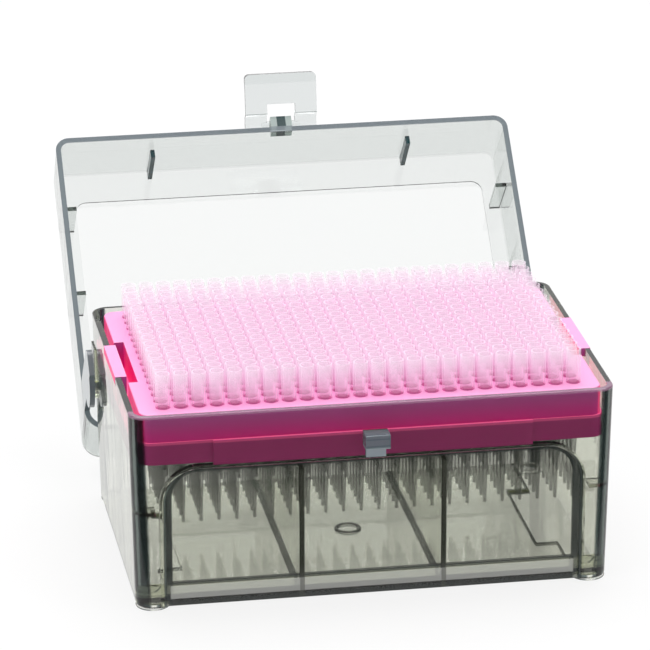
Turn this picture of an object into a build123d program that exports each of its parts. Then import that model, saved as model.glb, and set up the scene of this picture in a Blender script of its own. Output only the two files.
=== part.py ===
"""Box of small pipette tips with a hinged lid and a front latch.

The base stands on the table. A rack drops into its rim and carries the tips in rows. The lid
turns on two side pins and is modelled fully open, with its latch swung outwards. Millimetres,
X to the right, Y to the back, Z up, origin on the table under the middle of the base.
"""
import os
from math import cos, radians, sin, tan

from build123d import *

# ---- Tips
tip_pitch = 4.5
tip_columns = 24
tip_rows = 16
tip_head_length = 8.84
tip_head_diameter = 3.7
tip_head_bore = 3.1
tip_shaft_length = 30.5
tip_shaft_diameter = 3.0
tip_shaft_bore = 2.3
tip_end_diameter = 0.8
tip_end_bore = 0.4
tip_hole_clearance = 0.12

# ---- Base, sizes at its rim: it is built around the grid of tips
tip_side_margin = 7.0
tip_front_margin = 5.75
base_height = 52.0
base_draft = 1.3
base_wall = 1.5
base_corner_radius = 4.35
panel_edge_round = 1.0
rim_round = 0.4
panel_recess = 1.7
panel_drop = 14.8
panel_corner_radius = 8.5
panel_lift = 0.4
front_post_width = 8.7
side_post_width = 10.0
ledge_thickness = 0.8
floor_height = 1.7
floor_thickness = 1.3
floor_step = 0.6
floor_step_width = 92.0
floor_step_end_width = 103.2
floor_step_end_length = 23.5
floor_cove = 3.9
middle_columns = 8
partition_thickness = 1.2
partition_drop = 2.2
gate_ring_diameter = 6.5
gate_ring_width = 0.6
gate_ring_height = 0.3
foot_wall = 1.95
foot_round = 0.3
foot_bowl_depth = 1.1
corner_web_size = 6.2
corner_web_height = 25.2
corner_web_thickness = 1.0

# ---- Catch on the front of the base
catch_width = 6.2
catch_drop = 6.8
catch_height = 3.7
catch_reach = 4.6
catch_pad_width = 5.0
catch_pad_height = 3.0
catch_pad_reach = 1.4
catch_round = 0.4

# ---- Rack that holds the tips
deck_drop = 0.5
deck_thickness = 1.5
deck_side_gap = 1.4
deck_front_gap = 1.35
deck_corner_radius = 3.0
rack_edge_round = 0.4
rack_wall = 1.2
rack_gap = 0.25
ledge_drop = 7.1
end_skirt_lift = 0.6
end_skirt_setback = 0.5
middle_skirt_width = 80.4
lug_width = 23.6
lug_thickness = 2.1
lug_wall = 0.9
lug_gap = 0.1
lug_well_depth = 2.5
lug_well_width = 29.8

# ---- Lid, sizes when it is closed
lid_overlap = 6.3
lid_height = 19.9
lid_wall = 1.4
lid_top_thickness = 1.0
lid_draft = 1.15
lid_side_gap = 0.4
lid_back_gap = 0.45
lid_front_gap = 1.6
lid_front_radius = 3.8
lid_back_radius = 5.5
lid_top_round = 2.0
lid_panel_front_inset = 9.9
lid_panel_side_inset = 5.8
lid_panel_depth = 0.4
lid_panel_radius = 3.0
rib_thickness = 1.2
rib_clearance = 0.1
side_rib_reach = 3.2
side_rib_distances = (43.9, 69.8)
front_rib_reach = 2.5
front_rib_spacing = 71.2

# ---- Hinge at the back of both side walls
hinge_inset = 4.75
hinge_height = 32.2
hinge_angle = 136.5
hinge_pin_radius = 1.6
hinge_pin_clearance = 0.06
hinge_pin_length = 2.4
hinge_pad_proud = 0.1
hinge_pad_radius = 3.6
hinge_pad_top = 43.0
ear_radius = 6.0
ear_reach = 7.6
ear_corner_radius = 3.0

# ---- Latch on the front of the lid
latch_width = 19.8
latch_length = 14.4
latch_thickness = 1.4
latch_corner_radius = 1.3
latch_angle = 52.0
latch_axis_rise = 1.6
latch_axis_reach = 1.7
latch_crank = 1.6
latch_crank_start = 2.0
latch_crank_end = 3.3
latch_notch_width = 7.8
latch_hook_gap = 0.2
latch_lip_height = 2.7
latch_lip_reach = 0.5
latch_rod_radius = 0.9
latch_rod_clearance = 0.05
latch_boss_width = 5.8
latch_boss_height = 3.7
latch_boss_front = 1.6
latch_slot_width = 2.7

edge_tolerance = 0.05

# ---- Values worked out from the sizes above
base_width = tip_columns * tip_pitch + 2 * tip_side_margin
base_depth = tip_rows * tip_pitch + 2 * tip_front_margin
deck_width = base_width - 2 * (base_wall + deck_side_gap)
deck_depth = base_depth - 2 * (base_wall + deck_front_gap)
hinge_y = base_depth / 2 - hinge_inset
panel_height = base_height - panel_drop
partition_height = panel_height - partition_drop
catch_top = base_height - catch_drop
deck_height = base_height - deck_drop
ledge_height = deck_height - ledge_drop
seat_height = panel_height + ledge_thickness
partition_spacing = middle_columns * tip_pitch
lug_notch_width = lug_width + 2 * rack_gap
catch_bottom = catch_top - catch_height
latch_axis_height = base_height - lid_overlap + latch_axis_rise
latch_notch_length = latch_axis_height - catch_bottom + latch_hook_gap


def draft_shift(height):
    """How far the drafted wall stands in from the rim's outline at a height."""
    return (base_height - height) * tan(radians(base_draft))


# The hinge axis is the origin of the lid's own frame: in it Y runs to the back and Z up as if
# the lid were closed. The latch has a frame of the same kind on its own axis.
lid_frame = Plane(
    origin=(0, hinge_y, hinge_height),
    x_dir=(1, 0, 0),
    z_dir=(0, sin(radians(hinge_angle)), cos(radians(hinge_angle))),
)
lid_rim = base_height - lid_overlap - hinge_height
lid_top = lid_rim + lid_height
lid_inside_half_width = base_width / 2 + lid_side_gap
lid_half_width = lid_inside_half_width + lid_wall
lid_back = base_depth / 2 + lid_back_gap + lid_wall - hinge_y
lid_front = -(base_depth / 2 + lid_front_gap + lid_wall + hinge_y)
lid_up = Axis(lid_frame.origin, lid_frame.z_dir)

latch_frame = Plane(
    origin=lid_frame.from_local_coords((0, lid_front - latch_axis_reach, lid_rim + latch_axis_rise)),
    x_dir=(1, 0, 0),
    z_dir=(0, sin(radians(hinge_angle + latch_angle)), cos(radians(hinge_angle + latch_angle))),
)


def side_plane(frame, x):
    """Plane across a frame at x, on which X runs to the frame's back and Y runs up."""
    return Plane(
        origin=frame.from_local_coords((x, 0, 0)), x_dir=frame.y_dir, z_dir=frame.x_dir
    )


def front_plane(frame, y):
    """Plane along a frame at y, on which X runs to the right and Y runs up."""
    return Plane(
        origin=frame.from_local_coords((0, y, 0)), x_dir=frame.x_dir, z_dir=-frame.y_dir
    )


# ---- Base
def base_form(inset, ledge, bottom):
    """Drafted form of the base with its recessed panels, every wall moved in by inset.

    The panels' upper edge is raised by ledge, and the form stands on bottom.
    """
    with BuildPart() as form:
        with BuildSketch(Plane.XY.offset(base_height)):
            Rectangle(base_width - 2 * inset, base_depth - 2 * inset)
        extrude(amount=bottom - base_height, taper=base_draft)
        fillet(form.edges().group_by(Axis.Z)[1], base_corner_radius - inset)
        windows = (
            (Plane.XZ, base_width - 2 * front_post_width),
            (Plane.YZ, base_depth - 2 * side_post_width),
        )
        for plane, width in windows:
            with BuildSketch(plane) as window:
                Rectangle(width + 2 * inset, 2 * (panel_height + ledge))
                fillet(window.vertices().group_by(Axis.Y)[-1], panel_corner_radius + inset)
            extrude(amount=base_width, both=True, mode=Mode.SUBTRACT)
        with BuildSketch(Plane.XY.offset(base_height)):
            Rectangle(
                base_width - 2 * (inset + panel_recess), base_depth - 2 * (inset + panel_recess)
            )
        extrude(amount=bottom - base_height, taper=base_draft)
    return form.part


with BuildPart() as base_hollow:
    add(base_form(base_wall, ledge_thickness, 0))
    # Floor slab with a low step in its upper side
    with BuildSketch(Plane.XY.offset(floor_height)):
        Rectangle(base_width, base_depth)
    extrude(amount=-floor_thickness, mode=Mode.SUBTRACT)
    with BuildSketch(Plane.XY.offset(floor_height)):
        Rectangle(floor_step_width, base_depth)
        with GridLocations(0, base_depth, 1, 2):
            Rectangle(floor_step_end_width, 2 * floor_step_end_length)
    extrude(amount=floor_step, mode=Mode.SUBTRACT)
    # Cove along the front of the floor
    cove_wall = base_depth / 2 - draft_shift(floor_height) - panel_recess - base_wall
    cove_top = floor_height + floor_step + floor_cove
    with BuildSketch(Plane.YZ):
        with BuildLine():
            Polyline(
                (floor_cove - cove_wall, floor_height),
                (-cove_wall - base_wall, floor_height),
                (-cove_wall - base_wall, cove_top),
                (-cove_wall, cove_top),
                (floor_cove - cove_wall, cove_top - floor_cove),
                close=True,
            )
        make_face()
    extrude(amount=base_width / 2, both=True, mode=Mode.SUBTRACT)
    # Ring around the mould's gate, on the floor
    with BuildSketch(Plane.XY.offset(floor_height + floor_step)):
        Circle(gate_ring_diameter / 2)
        Circle(gate_ring_diameter / 2 - gate_ring_width, mode=Mode.SUBTRACT)
    extrude(amount=gate_ring_height, mode=Mode.SUBTRACT)
    # Partitions between tip columns
    with BuildSketch(Plane.XY.offset(panel_lift)):
        with GridLocations(partition_spacing, 0, 2, 1):
            Rectangle(partition_thickness, base_depth)
    extrude(amount=partition_height - panel_lift, mode=Mode.SUBTRACT)
    # Webs across the hollow corner posts
    with BuildSketch(Plane.XY.offset(corner_web_height)):
        with GridLocations(base_width, base_depth, 2, 2):
            Rectangle(2 * corner_web_size, 2 * corner_web_size)
    extrude(amount=corner_web_thickness, mode=Mode.SUBTRACT)

def on_panel_edge(edge):
    """True for the outer edges around the recessed panels."""
    middle = edge.center()
    inward = draft_shift(middle.Z)
    across_front = (
        abs(abs(middle.Y) - base_depth / 2 + inward) < edge_tolerance
        and abs(middle.X) < base_width / 2 - front_post_width + edge_tolerance
    )
    across_side = (
        abs(abs(middle.X) - base_width / 2 + inward) < edge_tolerance
        and abs(middle.Y) < base_depth / 2 - side_post_width + edge_tolerance
    )
    return middle.Z < panel_height + edge_tolerance and (across_front or across_side)


with BuildPart() as feet:
    foot_spacing_x = base_width - 2 * (draft_shift(panel_lift) + base_corner_radius)
    foot_spacing_y = base_depth - 2 * (draft_shift(panel_lift) + base_corner_radius)
    with BuildSketch():
        with GridLocations(foot_spacing_x, foot_spacing_y, 2, 2):
            Circle(base_corner_radius)
    extrude(amount=floor_height - floor_thickness)
    fillet(feet.faces().group_by(Axis.Z)[0].edges(), foot_round)

with BuildPart() as base:
    add(base_form(0, 0, panel_lift))
    fillet(base.edges().filter_by(on_panel_edge), panel_edge_round)
    add(base_hollow.part, mode=Mode.SUBTRACT)
    add(feet.part)
    # Bowls under the feet
    with BuildSketch():
        with GridLocations(foot_spacing_x, foot_spacing_y, 2, 2):
            Circle(base_corner_radius - foot_wall)
    extrude(amount=foot_bowl_depth, mode=Mode.SUBTRACT)
    fillet(base.faces().sort_by(Axis.Z)[-1].outer_wire().edges(), rim_round)
    # Notches in the rim for the rack's lugs
    with BuildSketch(Plane.XY.offset(base_height)):
        Rectangle(base_width + 1, lug_notch_width)
        Rectangle(base_width - 3 * base_wall, lug_notch_width, mode=Mode.SUBTRACT)
    extrude(amount=-(lug_thickness + lug_gap), mode=Mode.SUBTRACT)
    # Flat pads around the hinge pins
    for side in (-1, 1):
        pad_depth = hinge_pad_proud + draft_shift(hinge_height - hinge_pad_radius) + base_wall / 2
        with BuildSketch(Plane.YZ.offset(side * (base_width / 2 + hinge_pad_proud))):
            with Locations((hinge_y, hinge_height)):
                Circle(hinge_pad_radius)
            with Locations((hinge_y, (hinge_height + hinge_pad_top) / 2)):
                Rectangle(2 * hinge_pad_radius, hinge_pad_top - hinge_height)
        extrude(amount=-side * pad_depth)
    with BuildSketch(Plane.YZ):
        with Locations((hinge_y, hinge_height)):
            Circle(hinge_pin_radius + hinge_pin_clearance)
    extrude(amount=base_width, both=True, mode=Mode.SUBTRACT)
    # Catch for the latch, with a thinner pad under it
    wall_middle = -(base_depth / 2 - draft_shift(catch_bottom) - base_wall / 2)
    catch_front = -(base_depth / 2 + catch_reach)
    with BuildSketch(Plane.XZ.offset(-catch_front)):
        with Locations((0, catch_bottom + catch_height / 2)):
            Rectangle(catch_width, catch_height)
    extrude(amount=catch_front - wall_middle)
    fillet(base.edges().filter_by(Axis.X).group_by(Axis.Y)[0], catch_round)
    with BuildSketch(Plane.XZ.offset(base_depth / 2 + catch_pad_reach)):
        with Locations((0, catch_bottom - catch_pad_height / 2)):
            Rectangle(catch_pad_width, catch_pad_height)
    extrude(amount=-(base_depth / 2 + catch_pad_reach + wall_middle))
base.part.label = "base"


# ---- Tip rack
skirt_half_width = base_width / 2 - draft_shift(seat_height) - base_wall - rack_gap
skirt_half_depth = base_depth / 2 - draft_shift(seat_height) - base_wall - rack_gap
skirt_corner_radius = deck_corner_radius + skirt_half_width - deck_width / 2


def rack_level(bottom, top, half_width, half_depth, radius, mode=Mode.ADD):
    """Rounded block of the rack between two heights."""
    with BuildSketch(Plane.XY.offset(bottom)) as level:
        RectangleRounded(2 * half_width, 2 * half_depth, radius)
    extrude(level.sketch, amount=top - bottom, mode=mode)


def rack_wells(bottom, grow, mode):
    """Wells in both side edges of the deck, behind the lugs, widened by grow."""
    with BuildSketch(Plane.XY.offset(bottom)) as wells:
        with GridLocations(deck_width, 0, 2, 1):
            Rectangle(2 * (lug_well_depth + grow), lug_well_width + 2 * grow)
    extrude(wells.sketch, amount=deck_height - bottom, mode=mode)


with BuildPart() as rack_inside:
    rack_level(
        seat_height, deck_height - deck_thickness,
        deck_width / 2 - rack_wall, deck_depth / 2 - rack_wall, deck_corner_radius - rack_wall,
    )
    rack_wells(seat_height, rack_wall, Mode.SUBTRACT)
    rack_level(
        seat_height, ledge_height - rack_wall,
        skirt_half_width - rack_wall, skirt_half_depth - end_skirt_setback - rack_wall,
        skirt_corner_radius - rack_wall,
    )

with BuildPart() as tip_rack:
    rack_level(
        ledge_height, deck_height, deck_width / 2, deck_depth / 2, deck_corner_radius
    )
    fillet(tip_rack.faces().sort_by(Axis.Z)[-1].edges(), rack_edge_round)
    rack_wells(ledge_height, 0, Mode.SUBTRACT)
    # Skirt: set back and short at both ends, full and resting on the base's ledge between
    rack_level(
        seat_height + end_skirt_lift, ledge_height,
        skirt_half_width, skirt_half_depth - end_skirt_setback, skirt_corner_radius,
    )
    with BuildSketch(Plane.XY.offset(seat_height)):
        Rectangle(middle_skirt_width, 2 * skirt_half_depth)
    extrude(amount=ledge_height - seat_height)
    add(rack_inside.part, mode=Mode.SUBTRACT)
    # Lugs that hook over the notches in the base's rim
    with BuildSketch(Plane.XY.offset(ledge_height)):
        with GridLocations(2 * skirt_half_width - lug_wall, 0, 2, 1):
            Rectangle(lug_wall, lug_width)
    extrude(amount=base_height - ledge_height)
    with BuildSketch(Plane.XY.offset(base_height)):
        with GridLocations(base_width / 2 + skirt_half_width - lug_wall, 0, 2, 1):
            Rectangle(base_width / 2 - skirt_half_width + lug_wall, lug_width)
    extrude(amount=-lug_thickness)
    # Holes for the tips
    with BuildSketch(Plane.XY.offset(deck_height)):
        with GridLocations(tip_pitch, tip_pitch, tip_columns, tip_rows):
            Circle(tip_shaft_diameter / 2 + tip_hole_clearance)
    extrude(amount=-deck_thickness, mode=Mode.SUBTRACT)
tip_rack.part.label = "tip_rack"

# ---- Tips: one hollow turned tip, repeated along each row
tip_profile = (
    (tip_head_bore / 2, deck_height + tip_head_length),
    (tip_head_diameter / 2, deck_height + tip_head_length),
    (tip_head_diameter / 2, deck_height),
    (tip_shaft_diameter / 2, deck_height),
    (tip_end_diameter / 2, deck_height - tip_shaft_length),
    (tip_end_bore / 2, deck_height - tip_shaft_length),
    (tip_shaft_bore / 2, deck_height),
)
with BuildPart() as tip:
    with BuildSketch(Plane.XZ):
        with BuildLine():
            Polyline(*tip_profile, close=True)
        make_face()
    revolve(axis=Axis.Z)

tips = []
for row in range(tip_rows):
    row_y = (row - (tip_rows - 1) / 2) * tip_pitch
    with BuildPart() as tips_row:
        with Locations((0, row_y)):
            with GridLocations(tip_pitch, 0, tip_columns, 1):
                add(tip.part)
    tips_row.part.label = f"tips_row_{row + 1:02d}"
    tips.append(tips_row)

# ---- Lid
lid_middle = (lid_front + lid_back) / 2
lid_length = lid_back - lid_front


def lid_form(inset, height):
    """Drafted form of the lid, every wall moved in by inset, from its rim up to a height."""
    with BuildSketch(lid_frame.offset(lid_rim)) as outline:
        with Locations((0, lid_middle)):
            Rectangle(2 * (lid_half_width - inset), lid_length - 2 * inset)
        fillet(outline.vertices().group_by(Axis.Y)[0], lid_front_radius - inset)
        fillet(outline.vertices().group_by(Axis.Y)[-1], lid_back_radius - inset)
    extrude(outline.sketch, amount=height, taper=lid_draft)


with BuildPart() as lid_hollow:
    lid_form(lid_wall, lid_height - lid_top_thickness)

with BuildPart() as lid:
    lid_form(0, lid_height)
    fillet(lid.faces().sort_by(lid_up)[-1].edges(), lid_top_round)
    add(lid_hollow.part, mode=Mode.SUBTRACT)
    # Shallow panel in the top
    with BuildSketch(lid_frame.offset(lid_top)):
        with Locations((0, lid_middle)):
            RectangleRounded(
                2 * (lid_half_width - lid_panel_side_inset),
                lid_length - 2 * lid_panel_front_inset,
                lid_panel_radius,
            )
    extrude(amount=-lid_panel_depth, mode=Mode.SUBTRACT)
    # Ribs that come down just above the base's rim, on the side walls and the front wall
    rib_bottom = base_height + rib_clearance - hinge_height
    rib_height = lid_top - lid_top_thickness - rib_bottom
    with BuildSketch(lid_frame.offset(rib_bottom)):
        for distance in side_rib_distances:
            with Locations((0, lid_back - distance)):
                with GridLocations(2 * lid_inside_half_width - side_rib_reach, 0, 2, 1):
                    Rectangle(side_rib_reach, rib_thickness)
        with Locations((0, lid_front + lid_wall + front_rib_reach / 2)):
            with GridLocations(front_rib_spacing, 0, 2, 1):
                Rectangle(rib_thickness, front_rib_reach)
    extrude(amount=rib_height)
    # Ears that carry the hinge pins
    for side in (-1, 1):
        ear_top = lid_rim + lid_wall
        ear_back = lid_back - lid_back_radius
        with BuildSketch(side_plane(lid_frame, side * lid_half_width)) as ear:
            with Locations(((ear_back - ear_reach) / 2, (ear_top - ear_reach) / 2)):
                Rectangle(ear_back + ear_reach, ear_top + ear_reach)
            fillet(ear.vertices().sort_by(Axis.Y)[0:2].sort_by(Axis.X)[0], ear_corner_radius)
            Circle(ear_radius)
        extrude(amount=-side * lid_wall)
        with BuildSketch(side_plane(lid_frame, side * lid_inside_half_width)):
            Circle(hinge_pin_radius)
        extrude(amount=-side * hinge_pin_length)
    # Boss for the latch, with a bore and a slot that shows the latch's rod
    boss_front = lid_front - latch_axis_reach - latch_boss_front
    boss_back = lid_front + lid_wall / 2
    with BuildSketch(lid_frame.offset(lid_rim)):
        with Locations((0, (boss_front + boss_back) / 2)):
            Rectangle(latch_boss_width, boss_back - boss_front)
    extrude(amount=latch_boss_height)
    with BuildSketch(side_plane(lid_frame, 0)):
        with Locations((lid_front - latch_axis_reach, lid_rim + latch_axis_rise)):
            Circle(latch_rod_radius + latch_rod_clearance)
    extrude(amount=latch_boss_width, both=True, mode=Mode.SUBTRACT)
    with BuildSketch(front_plane(lid_frame, boss_front)):
        with Locations((0, lid_rim + latch_axis_rise)):
            Rectangle(latch_slot_width, 2 * (latch_rod_radius + latch_rod_clearance))
    extrude(amount=-latch_boss_front, mode=Mode.SUBTRACT)
lid.part.label = "lid"

# ---- Latch: a cranked flap with a rod across its notch
half_plate = latch_thickness / 2
latch_profile = (
    (-half_plate, half_plate),
    (half_plate, half_plate),
    (half_plate, -latch_crank_start),
    (half_plate + latch_crank, -latch_crank_end),
    (half_plate + latch_crank, -latch_length),
    (-half_plate + latch_crank - latch_lip_reach, -latch_length),
    (-half_plate + latch_crank - latch_lip_reach, latch_lip_height - latch_length),
    (-half_plate + latch_crank, latch_lip_height - latch_length),
    (-half_plate + latch_crank, -latch_crank_end),
    (-half_plate, -latch_crank_start),
)
with BuildPart() as latch:
    with BuildSketch(side_plane(latch_frame, 0)):
        with BuildLine():
            Polyline(*latch_profile, close=True)
        make_face()
    extrude(amount=latch_width / 2, both=True)
    with BuildSketch(front_plane(latch_frame, 0)) as outline:
        with Locations((0, (half_plate - latch_length) / 2)):
            Rectangle(latch_width, latch_length + half_plate)
        fillet(outline.vertices().group_by(Axis.Y)[0], latch_corner_radius)
        Rectangle(latch_notch_width, 2 * latch_notch_length, mode=Mode.SUBTRACT)
    extrude(amount=latch_length, both=True, mode=Mode.INTERSECT)
    with BuildSketch(side_plane(latch_frame, 0)):
        Circle(latch_rod_radius)
    extrude(amount=latch_notch_width / 2 + latch_thickness, both=True)
latch.part.label = "latch"

# ---- Write one file for each piece
os.makedirs("parts", exist_ok=True)
for piece in (base, tip_rack, lid, latch, *tips):
    export_step(piece.part, f"parts/{piece.part.label}.step")
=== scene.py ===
"""Box of pipette tips: finishes, floor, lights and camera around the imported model.

Metres, X to the right, Y to the back, Z up, origin on the table under the middle of the base.
"""
import math

import bmesh
import bpy
from mathutils import Matrix, Vector


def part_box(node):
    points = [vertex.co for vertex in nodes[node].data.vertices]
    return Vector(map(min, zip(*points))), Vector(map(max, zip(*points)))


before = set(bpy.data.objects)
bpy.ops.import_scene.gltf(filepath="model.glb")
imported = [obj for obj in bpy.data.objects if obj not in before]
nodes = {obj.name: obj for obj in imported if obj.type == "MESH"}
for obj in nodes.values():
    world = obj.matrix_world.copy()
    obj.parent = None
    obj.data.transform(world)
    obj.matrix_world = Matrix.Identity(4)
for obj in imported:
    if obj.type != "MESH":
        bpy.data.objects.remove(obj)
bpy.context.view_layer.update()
MM = 0.001

# ---- Heights and places that the finishes follow
DECK_TOP = 51.5 * MM
LEDGE = 44.4 * MM
HEAD_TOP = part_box("tips_row_01")[1].z
FRONT_PANEL = -36.4 * MM
PANEL_HALF = 52.3 * MM
PANEL_TOP = 37.2 * MM
PANEL_RADIUS = 8.5 * MM
COVE_TOP = 6.3 * MM
COVE_HALF = 51.5 * MM
FLOOR_LIMIT = 2.9 * MM
STEP_HALF = 46.0 * MM
STEP_END_OUT = 5.6 * MM
STEP_TURN = 18.25 * MM
PARTITION = 18.0 * MM
PARTITION_TOP = 34.9 * MM
GATE_RADIUS = 3.0 * MM
CATCH_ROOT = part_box("base")[0].y + 4.4 * MM
CATCH_MIDDLE = 43.3 * MM
CATCH_LIP = 41.8 * MM
RIM_START = 51.2 * MM
WELLS_HALF = Vector((54.0, 35.2)) * MM
DECK_END = 55.0 * MM
HINGE = Vector((0.0, 37.0, 32.2)) * MM
LID_ANGLE = math.radians(136.5)
LID_FRONT = -81.75 * MM
LID_RIM = 13.5 * MM
LID_TOP = 33.4 * MM
SIDE_WALL = 61.4 * MM
FRONT_RIB = 35.6 * MM
SIDE_RIBS = (43.9 * MM, 69.8 * MM)
TIP_ROWS = [name for name in sorted(nodes) if name.startswith("tips_row_")]


# ---- Shader arithmetic
class Level:
    """A number that changes over a surface, as a socket that takes part in sums."""

    def __init__(self, finish, socket):
        self.finish = finish
        self.socket = socket

    def math(self, operation, *values):
        node = self.finish.node(
            "ShaderNodeMath", {"operation": operation}, dict(enumerate(values))
        )
        return Level(self.finish, node.outputs[0])

    def __add__(self, other):
        return self.math("ADD", self, other)

    __radd__ = __add__

    def __sub__(self, other):
        return self.math("SUBTRACT", self, other)

    def __rsub__(self, other):
        return self.math("SUBTRACT", other, self)

    def __mul__(self, other):
        return self.math("MULTIPLY", self, other)

    __rmul__ = __mul__

    def __truediv__(self, other):
        return self.math("DIVIDE", self, other)

    def __rtruediv__(self, other):
        return self.math("DIVIDE", other, self)

    def __pow__(self, other):
        return self.math("POWER", self, other)

    def __rpow__(self, other):
        return self.math("POWER", other, self)

    def most(self, other):
        return self.math("MAXIMUM", self, other)

    def least(self, other):
        return self.math("MINIMUM", self, other)

    def size(self):
        return self.math("ABSOLUTE", self)

    def ramp(self, start, end, low=0.0, high=1.0):
        """Goes from low to high while this value goes from start to end."""
        node = self.finish.node(
            "ShaderNodeMapRange",
            {"interpolation_type": "SMOOTHSTEP"},
            {"Value": self, "From Min": start, "From Max": end, "To Min": low, "To Max": high},
        )
        return Level(self.finish, node.outputs["Result"])


class Finish:
    """A node material in the making."""

    def __init__(self, name):
        self.material = bpy.data.materials.new(name)
        self.material.use_nodes = True
        self.tree = self.material.node_tree
        self.tree.nodes.clear()

    def node(self, kind, settings=None, sockets=None):
        """Adds a node: first its settings, then the values or links of its sockets."""
        node = self.tree.nodes.new(kind)
        for name, value in (settings or {}).items():
            setattr(node, name, value)
        for name, value in (sockets or {}).items():
            if isinstance(value, Level):
                value = value.socket
            if isinstance(value, bpy.types.NodeSocket):
                self.tree.links.new(value, node.inputs[name])
            else:
                node.inputs[name].default_value = value
        return node

    def place(self):
        """Object coordinates as X, Y and Z levels, in metres."""
        node = self.node("ShaderNodeTexCoord")
        self.where = node.outputs["Object"]
        parts = self.node("ShaderNodeSeparateXYZ", None, {"Vector": self.where})
        return [Level(self, parts.outputs[axis]) for axis in "XYZ"]

    def noise(self, scale, detail=2.0, roughness=0.5, stretch=(1, 1, 1)):
        """Cloudy pattern from 0 to 1, its scale in waves a metre."""
        spot = self.node("ShaderNodeMapping", None, {"Vector": self.where, "Scale": stretch})
        node = self.node(
            "ShaderNodeTexNoise", None,
            {"Vector": spot.outputs[0], "Scale": scale, "Detail": detail, "Roughness": roughness},
        )
        return Level(self, node.outputs[0])

    def facing(self, blend=0.5):
        """0 where a face is seen square on, towards 1 where it is seen edge on."""
        node = self.node("ShaderNodeLayerWeight", None, {"Blend": blend})
        return Level(self, node.outputs["Facing"])

    def mix(self, factor, first, second, blend="MIX"):
        """Mixes two colours."""
        node = self.node(
            "ShaderNodeMix", {"data_type": "RGBA", "blend_type": blend},
            {0: factor, 6: first, 7: second},
        )
        return node.outputs[2]

    def bump(self, height, distance, strength=1.0):
        node = self.node(
            "ShaderNodeBump", None,
            {"Height": height, "Distance": distance, "Strength": strength},
        )
        return node.outputs[0]

    def ray(self, *kinds):
        """1 for rays of the named kinds."""
        path = self.node("ShaderNodeLightPath")
        total = Level(self, path.outputs[kinds[0]])
        for kind in kinds[1:]:
            total = total.most(Level(self, path.outputs[kind]))
        return total

    def normal(self):
        """X, Y and Z of the way a face looks, whichever side of it is seen."""
        node = self.node("ShaderNodeNewGeometry")
        parts = self.node("ShaderNodeSeparateXYZ", None, {"Vector": node.outputs["Normal"]})
        return [Level(self, parts.outputs[axis]) for axis in "XYZ"]

    def mirrored(self):
        """0 for light that came straight or through clear walls, 1 or more once mirrored."""
        return Level(self, self.node("ShaderNodeLightPath").outputs["Glossy Depth"])

    def surface(self, shader, volume=None):
        output = self.node("ShaderNodeOutputMaterial", None, {"Surface": shader.outputs[0]})
        if volume is not None:
            self.tree.links.new(volume.outputs[0], output.inputs["Volume"])
        return self.material


# ---- Clear plastics: glass that darkens with the thickness looked through
class Clear(Finish):
    """Clear plastic with painted shade darkening its edges and upright corners, where light is
    led away.
    """

    def __init__(self, name):
        super().__init__(name)
        self.x, self.y, self.z = self.place()
        self.colour = (1, 1, 1, 1)
        self.painted_patches = []

    def tint(self, where, colour):
        """Tints the light that passes through the faces in a place."""
        self.colour = self.mix(where, self.colour, (*colour, 1))

    def paint_over(self, where, colour):
        """Lays a plain colour over the faces in a place, mostly painted shade and painted light
        on the clear walls.
        """
        self.painted_patches.append((where, colour))

    def finished(self, lost, wear):
        """Loses this share of each colour in a millimetre of thickness.

        Lamps and scattered light pass straight through.
        """
        streaks = self.noise(90, 2.0, 0.5, (1, 1, 0.25))
        haze = self.noise(420, 3.0, 0.6)
        shader = self.node("ShaderNodeBsdfPrincipled", None, {
            "Base Color": self.colour,
            "Roughness": haze.ramp(0.55, 0.85, 0.0, wear),
            "IOR": 1.5,
            "Transmission Weight": 1.0,
            "Normal": self.bump(streaks, 0.12 * MM, 0.35),
        })
        for where, colour in self.painted_patches:
            plain = self.node("ShaderNodeBsdfPrincipled", None, {
                "Base Color": (*colour, 1), "Roughness": 0.15,
            })
            shader = self.node("ShaderNodeMixShader", None, {
                0: where, 1: shader.outputs[0], 2: plain.outputs[0],
            })
        passing = self.node("ShaderNodeBsdfTransparent", None, {"Color": (0.97, 0.97, 0.97, 1)})
        seen = self.node("ShaderNodeMixShader", None, {
            0: self.ray("Is Shadow Ray", "Is Diffuse Ray"),
            1: shader.outputs[0], 2: passing.outputs[0],
        })
        density = 2 * max(lost) / MM
        kept = [1 - share / MM / density for share in lost]
        depth = self.node(
            "ShaderNodeVolumeAbsorption", None, {"Color": (*kept, 1), "Density": density}
        )
        return self.surface(seen, depth)


def band(level, middle, half_width, softness):
    """1 within a half width of a middle value, 0 past a soft edge."""
    return (level - middle).size().ramp(half_width, half_width + softness, 1.0, 0.0)


def rounded_box(across, up, half_width, half_height, radius):
    """Distance from a rounded rectangle's outline, less than 0 inside it."""
    right, top = across.size() - (half_width - radius), up.size() - (half_height - radius)
    corner = (right.most(0.0) ** 2.0 + top.most(0.0) ** 2.0) ** 0.5
    return corner + right.most(top).least(0.0) - radius


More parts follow.
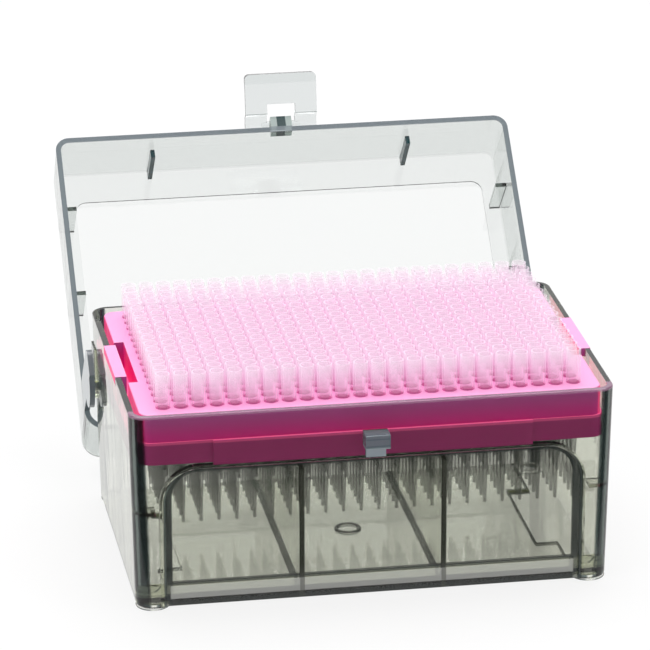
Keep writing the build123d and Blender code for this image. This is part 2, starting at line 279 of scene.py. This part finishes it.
def smoke_plastic():
    finish = Clear("smoke_plastic")
    nx, ny, nz = finish.normal()
    # Painted shade: light through upright corners tinted dark, as clear walls lead it away there
    finish.tint((nx * ny).size().ramp(0.12, 0.34), (0.03, 0.045, 0.05))
    side, front = finish.x.size(), finish.y.ramp(FRONT_PANEL, FRONT_PANEL - 0.3 * MM)
    # Painted shade: the dark laid along edge lines below, where clear walls bend light away
    dark = (0.022, 0.030, 0.030)
    # Painted shade along the frame around the front panel, and in the cove below it a painted
    # pale band of light between painted dark lines of shade
    frame_line = rounded_box(finish.x, finish.z, PANEL_HALF, PANEL_TOP, PANEL_RADIUS)
    frame_width = finish.z.ramp(28 * MM, 36 * MM, 0.85 * MM, 0.25 * MM)
    outline = (frame_line + 0.6 * MM).size() - frame_width
    finish.paint_over(outline.ramp(0.0, 0.25 * MM, 0.72, 0.0) * front, dark)
    along_cove = side.ramp(COVE_HALF, COVE_HALF - 0.5 * MM)
    cove = band(finish.z, COVE_TOP, 0.35 * MM, 0.15 * MM) * along_cove
    strip = band(finish.z, 4.0 * MM, 1.6 * MM, 0.3 * MM) * along_cove
    finish.paint_over(strip * front * 0.55, (0.68, 0.69, 0.66))
    foot_shade_line = finish.z.ramp(1.9 * MM, 1.6 * MM) * along_cove
    finish.paint_over(foot_shade_line * front * 0.5, (0.05, 0.06, 0.06))
    finish.paint_over(cove * front * 0.7, dark)
    # Painted shade: the floor faces greyed, and dark lines along the floor's step, its joints
    # with the partitions, and the gate's ring
    floor = nz.ramp(0.5, 0.8) * finish.z.ramp(FLOOR_LIMIT + 0.3 * MM, FLOOR_LIMIT)
    along = finish.y.size()
    ends = along.ramp(STEP_TURN - 0.25 * MM, STEP_TURN + 0.25 * MM)
    step = band(side, STEP_HALF + STEP_END_OUT * ends, 0.35 * MM, 0.2 * MM)
    step = step * finish.x.ramp(-1 * MM, 1 * MM)
    turn = band(along, STEP_TURN, 0.8 * MM, 0.3 * MM)
    turn = turn * band(side, STEP_HALF + STEP_END_OUT / 2, 3.0 * MM, 0.2 * MM)
    joint = band((side - PARTITION).size(), 0.95 * MM, 0.35 * MM, 0.15 * MM)
    from_gate = (finish.x * finish.x + finish.y * finish.y) ** 0.5
    ring = band(from_gate, GATE_RADIUS, 0.4 * MM, 0.2 * MM)
    lines = step.most(turn).most(joint).most(ring)
    finish.paint_over(floor * 0.20, (0.22, 0.22, 0.185))
    finish.paint_over(lines * floor * 0.75, dark)
    # Painted shade: the partitions' tops laid dark
    partition = band(side, PARTITION, 0.55 * MM, 0.1 * MM) * ny.size().ramp(0.7, 0.9)
    partition = partition * finish.z.ramp(PARTITION_TOP + 0.4 * MM, PARTITION_TOP)
    finish.paint_over(partition * 0.55, (0.075, 0.080, 0.060))
    # The catch laid grey-blue, with painted shade on its cross lines and a painted highlight on
    # its lower lip, and a painted pale pink highlight on the rim's front edge
    catch = finish.y.ramp(CATCH_ROOT, CATCH_ROOT - 0.3 * MM)
    finish.paint_over(catch * 0.7, (0.16, 0.21, 0.24))
    catch_shade_lines = band((finish.z - CATCH_MIDDLE).size(), 0.9 * MM, 0.1 * MM, 0.1 * MM)
    finish.paint_over(catch_shade_lines * catch * 0.6, (0.05, 0.08, 0.10))
    # Painted highlight along the catch's lower lip
    lip = finish.z.ramp(CATCH_LIP + 0.2 * MM, CATCH_LIP) * catch
    finish.paint_over(lip * 0.6, (0.36, 0.42, 0.46))
    # Painted highlight on the rim's front edge
    rim = finish.z.ramp(RIM_START, RIM_START + 0.4 * MM) * front
    finish.paint_over(rim * 0.55, (0.45, 0.24, 0.37))
    return finish.finished((0.108, 0.102, 0.142), 0.02)


def clear_lid_plastic():
    """The lid's own Y runs to its back and its own Z to its top, as when it is closed."""
    finish = Clear("clear_lid_plastic")
    side = finish.x.size()
    back, up = finish.y - HINGE[1], finish.z - HINGE[2]
    lid_y = back * math.cos(LID_ANGLE) - up * math.sin(LID_ANGLE)
    lid_z = back * math.sin(LID_ANGLE) + up * math.cos(LID_ANGLE)
    below_top = lid_z.ramp(LID_TOP - 1.6 * MM, LID_TOP - 1.2 * MM, 1.0, 0.0)
    inside = lid_y.ramp(LID_FRONT + 1.6 * MM, LID_FRONT + 1.9 * MM)
    # Painted shade: the front rib laid dark teal
    front_rib = band(side, FRONT_RIB, 0.7 * MM, 0.1 * MM) * inside * below_top
    front_rib = front_rib * lid_y.ramp(LID_FRONT + 4.6 * MM, LID_FRONT + 4.9 * MM, 1.0, 0.0)
    finish.paint_over(front_rib * 0.95, (0.006, 0.040, 0.048))
    # Painted light: the side ribs laid pale grey-green
    for distance in SIDE_RIBS:
        rib = band(lid_y, -distance, 0.75 * MM, 0.1 * MM)
        rib = rib * side.ramp(SIDE_WALL - 0.3 * MM, SIDE_WALL, 1.0, 0.0)
        rib = rib * side.ramp(SIDE_WALL - 3.9 * MM, SIDE_WALL - 3.7 * MM) * below_top
        finish.paint_over(rib * 0.45, (0.42, 0.47, 0.44))
    # Painted shade: a blue-grey line along the rim
    rim = lid_z.ramp(LID_RIM + 0.1 * MM, LID_RIM + 0.4 * MM, 1.0, 0.0)
    finish.paint_over(rim * 0.6, (0.25, 0.30, 0.33))
    # Painted light on the latch's boss, painted shade in its slot
    boss = lid_y.ramp(LID_FRONT - 0.3 * MM, LID_FRONT - 0.1 * MM, 1.0, 0.0)
    slot = band(finish.x, 0.0, 1.1 * MM, 0.2 * MM)
    finish.paint_over(boss * (1 - slot) * 0.6, (0.50, 0.58, 0.54))
    finish.paint_over(boss * slot * 0.9, (0.02, 0.05, 0.05))
    return finish.finished((0.185, 0.165, 0.175), 0.02)


def clear_latch_plastic():
    finish = Clear("clear_latch_plastic")
    return finish.finished((0.150, 0.128, 0.130), 0.04)


# ---- Magenta plastic: upper faces painted pale with a painted glow for the light that falls in, skirts stay deep
def magenta_plastic():
    finish = Finish("magenta_plastic")
    x, y, z = finish.place()
    nx, ny, nz = finish.normal()
    mottle = finish.noise(260, 3.0, 0.55)
    up = nz.ramp(0.3, 0.8)
    deck = z.ramp(DECK_TOP - 1.2 * MM, DECK_TOP - 0.2 * MM)
    ledge = z.ramp(LEDGE - 0.6 * MM, LEDGE - 0.1 * MM)
    rise = z.ramp(LEDGE, DECK_TOP)
    side = finish.mix(rise, (0.64, 0.003, 0.25, 1), (0.42, 0.06, 0.29, 1))
    skirt = finish.mix(mottle, (0.34, 0.014, 0.155, 1), (0.38, 0.016, 0.17, 1))
    walls = finish.mix(ledge, skirt, side)
    # Painted highlight: a bright line along the ledge's lip
    lip = band(z, LEDGE - 0.3 * MM, 0.3 * MM, 0.2 * MM)
    walls = finish.mix(lip * 0.8, walls, (0.80, 0.08, 0.30, 1))
    # Painted light: upward faces pale pink at the deck, bright pink on the ledge below
    top = finish.mix(mottle, (0.93, 0.36, 0.66, 1), (0.96, 0.41, 0.71, 1))
    shelf = finish.mix(deck, (0.90, 0.10, 0.36, 1), top)
    # Painted glow for the light that the clear heads lead down into the wells
    well = z.ramp(DECK_TOP - 3.0 * MM, DECK_TOP) * (1 - up)
    well = well * x.size().ramp(WELLS_HALF[0], WELLS_HALF[0] + 1 * MM, 1.0, 0.0)
    well = well * y.size().ramp(WELLS_HALF[1], WELLS_HALF[1] + 1 * MM, 1.0, 0.0)
    glow = (up * (1 - deck)).most(well * 0.7)
    # Painted light: the rack's end faces deep red with their own painted glow
    ends = x.size().ramp(DECK_END, DECK_END + 1 * MM) * nx.size().ramp(0.5, 0.8) * ledge
    walls = finish.mix(ends, walls, (0.70, 0.0, 0.15, 1))
    # The painted glow, laid on as emission
    light = finish.mix(glow, (0, 0, 0, 1), (0.85, 0.14, 0.38, 1))
    body = finish.node("ShaderNodeBsdfPrincipled", None, {
        "Base Color": finish.mix(up, walls, shelf),
        "Roughness": mottle.ramp(0.3, 0.7, 0.38, 0.48),
        "IOR": 1.49,
        "Emission Color": finish.mix(ends, light, (0.50, 0.0, 0.10, 1)),
        "Emission Strength": 0.55,
        "Normal": finish.bump(finish.noise(1500, 2.0, 0.5), 0.02 * MM, 0.25),
    })
    return finish.surface(body)


# ---- Tips: thin clear polypropylene, painted pink and given a painted glow near the deck that lights it
def clear_tip_plastic():
    finish = Finish("clear_tip_plastic")
    z = finish.place()[2]
    above = z.ramp(DECK_TOP - 0.3 * MM, DECK_TOP + 0.1 * MM)
    seat = z.ramp(DECK_TOP - 3.5 * MM, DECK_TOP - 1.5 * MM)
    foot = z.ramp(DECK_TOP + 0.15 * MM, DECK_TOP + 0.55 * MM, 1.0, 0.0)
    # Painted light: heads pink near the deck, whiter towards their tops
    glow = z.ramp(DECK_TOP, HEAD_TOP)
    head = finish.mix(glow, (0.94, 0.66, 0.85, 1), (0.94, 0.85, 0.93, 1))
    # Painted shade: the heads' feet dark magenta over the holes
    head = finish.mix(foot, head, (0.70, 0.14, 0.42, 1))
    # Painted shade: shafts dark grey under the deck, with painted pink light where they sit in
    # the holes
    shaft = finish.mix(seat, (0.055, 0.060, 0.055, 1), (0.80, 0.16, 0.42, 1))
    rim = (finish.facing(0.5) ** 2.0).ramp(0.0, 0.85)
    body = finish.node("ShaderNodeBsdfPrincipled", None, {
        "Base Color": finish.mix(above, shaft, head),
        "Roughness": finish.noise(700, 2.0, 0.5).ramp(0.3, 0.7, 0.16, 0.26),
        "IOR": 1.49,
        "Alpha": (1 - above) * (0.20 + 0.80 * rim) + above * (0.17 + 0.10 * foot + 0.30 * rim),
        # Painted glow on the heads
        "Emission Color": finish.mix(above * (1 - foot), (0, 0, 0, 1), head),
        "Emission Strength": 0.15,
    })
    return finish.surface(body)


def dress(name, material):
    """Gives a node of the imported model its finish."""
    slots = nodes[name].material_slots
    if not slots:
        nodes[name].data.materials.append(material)
    for slot in nodes[name].material_slots:
        slot.material = material


dress("base", smoke_plastic())
dress("lid", clear_lid_plastic())
dress("latch", clear_latch_plastic())
dress("tip_rack", magenta_plastic())
tip_finish = clear_tip_plastic()
for name in TIP_ROWS:
    dress(name, tip_finish)


# ---- Floor, world, lights and camera
def pale_floor():
    """White to the eye with a soft shadow, and painted dark where clear walls mirror its front.
    """
    finish = Finish("pale_floor")
    y = finish.place()[1]
    seen = finish.ray("Is Camera Ray", "Is Glossy Ray", "Is Transmission Ray")
    mirrored = finish.mirrored().least(1.0)
    # Painted shade: the floor's front seen dark in mirrored light
    show = 1 - mirrored * y.ramp(-0.060, -0.047, 0.94, 0.0)
    paint = finish.node("ShaderNodeBsdfDiffuse", None, {
        "Color": finish.mix(seen, (0.75, 0.75, 0.75, 1), (0.17, 0.17, 0.17, 1)),
    })
    lift = finish.node("ShaderNodeEmission", None, {
        "Color": (1, 1, 1, 1), "Strength": seen * 0.81,
    })
    both = finish.node("ShaderNodeAddShader", None, {0: paint.outputs[0], 1: lift.outputs[0]})
    dark = finish.node("ShaderNodeBsdfDiffuse", None, {"Color": (0.03, 0.03, 0.03, 1)})
    shown = finish.node("ShaderNodeMixShader", None, {
        0: show, 1: dark.outputs[0], 2: both.outputs[0],
    })
    return finish.surface(shown)


def make_floor():
    shape = bmesh.new()
    bmesh.ops.create_grid(shape, x_segments=1, y_segments=1, size=4.0)
    mesh = bpy.data.meshes.new("floor")
    shape.to_mesh(mesh)
    shape.free()
    mesh.materials.append(pale_floor())
    floor = bpy.data.objects.new("floor", mesh)
    bpy.context.scene.collection.objects.link(floor)


class Studio(Finish):
    """The world's shader: a white backdrop, with a darker room in what is mirrored."""

    def __init__(self, name):
        self.world = bpy.data.worlds.new(name)
        self.world.use_nodes = True
        self.tree = self.world.node_tree
        self.tree.nodes.clear()

    def direction(self):
        node = self.node("ShaderNodeTexCoord")
        parts = self.node("ShaderNodeSeparateXYZ", None, {"Vector": node.outputs["Generated"]})
        return [Level(self, parts.outputs[axis]) for axis in "XYZ"]

    def light(self, strength):
        white = self.node(
            "ShaderNodeBackground", None, {"Color": (1, 1, 1, 1), "Strength": strength}
        )
        self.node("ShaderNodeOutputWorld", None, {"Surface": white.outputs[0]})
        return self.world


def make_world():
    studio = Studio("studio")
    y, z = studio.direction()[1:]
    room = y.ramp(0.15, 0.75, 0.06, 1.0).most(z.ramp(0.55, 0.90, 0.0, 1.2))
    seen = studio.ray("Is Camera Ray", "Is Glossy Ray", "Is Transmission Ray")
    mirrored = studio.mirrored().least(1.0)
    clear = 1 - mirrored
    bpy.context.scene.world = studio.light(
        seen * (clear + mirrored * room) + (1 - seen) * 0.45
    )


def soft_light(name, place, target, size, watts):
    lamp = bpy.data.lights.new(name, "AREA")
    lamp.shape = "RECTANGLE"
    lamp.size, lamp.size_y = size
    lamp.energy = watts
    holder = bpy.data.objects.new(name, lamp)
    bpy.context.scene.collection.objects.link(holder)
    holder.location = place
    holder.rotation_euler = (Vector(target) - Vector(place)).to_track_quat("-Z", "Y").to_euler()


def make_camera():
    lens = bpy.data.cameras.new("camera")
    lens.sensor_width = 36.0
    lens.lens = 250.45
    lens.clip_start = 0.05
    lens.clip_end = 20.0
    camera = bpy.data.objects.new("camera", lens)
    bpy.context.scene.collection.objects.link(camera)
    turn = (
        Matrix.Rotation(math.radians(-9.31), 4, "Z")
        @ Matrix.Rotation(math.radians(90 - 19.68), 4, "X")
        @ Matrix.Rotation(math.radians(-0.3), 4, "Z")
    )
    camera.matrix_world = Matrix.Translation((-0.18103, -1.07021, 0.44614)) @ turn
    bpy.context.scene.camera = camera


make_floor()
make_world()
soft_light("top_light", (0.05, 0.34, 0.90), (0, 0.10, 0.04), (0.9, 0.7), 7.6)
soft_light("left_light", (-0.80, -0.35, 0.50), (0, 0, 0.05), (0.6, 0.6), 3.0)
soft_light("right_light", (0.85, -0.45, 0.55), (0, 0, 0.05), (0.6, 0.6), 2.5)
make_camera()

scene = bpy.context.scene
scene.view_settings.view_transform = "Standard"
# Rows of thin clear walls stand one behind another
scene.cycles.transparent_max_bounces = 96
